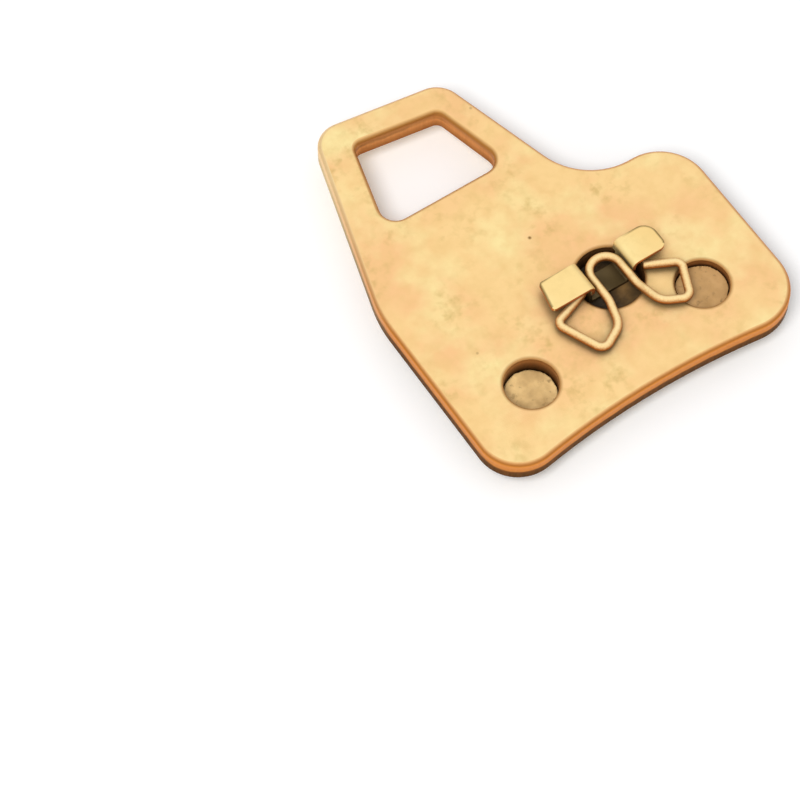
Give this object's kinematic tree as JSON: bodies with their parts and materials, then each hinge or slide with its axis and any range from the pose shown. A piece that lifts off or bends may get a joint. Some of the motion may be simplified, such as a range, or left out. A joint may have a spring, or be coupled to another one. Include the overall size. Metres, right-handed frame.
{
  "type": "bicycle disc brake pad",
  "caption": "Bicycle disc brake pad: stamped gold-plated plate with a handle loop, a moulded friction block on its front, and a bent wire spring held by a folded strip on its back.",
  "frame": {"origin": "on the axis of the piston's post, where it meets the friction face", "axes": "+X across the pad towards the shoulder, +Y towards the handle loop, +Z from the friction face to the back of the plate"},
  "size_m": [0.0302, 0.0359, 0.0052],
  "materials": {
    "plated_plate": "steel with a thin copper-gold plating, satin",
    "friction_compound": "moulded grit and resin, rough",
    "plated_strip": "spring strip with the same plating, smooth",
    "spring_wire": "round spring wire, plated"
  },
  "bodies": {
    "root": {"backing_plate": "plated_plate", "friction_block": "friction_compound", "spring_retainer": "plated_strip", "pad_spring": "spring_wire"}
  },
  "joints": []
}
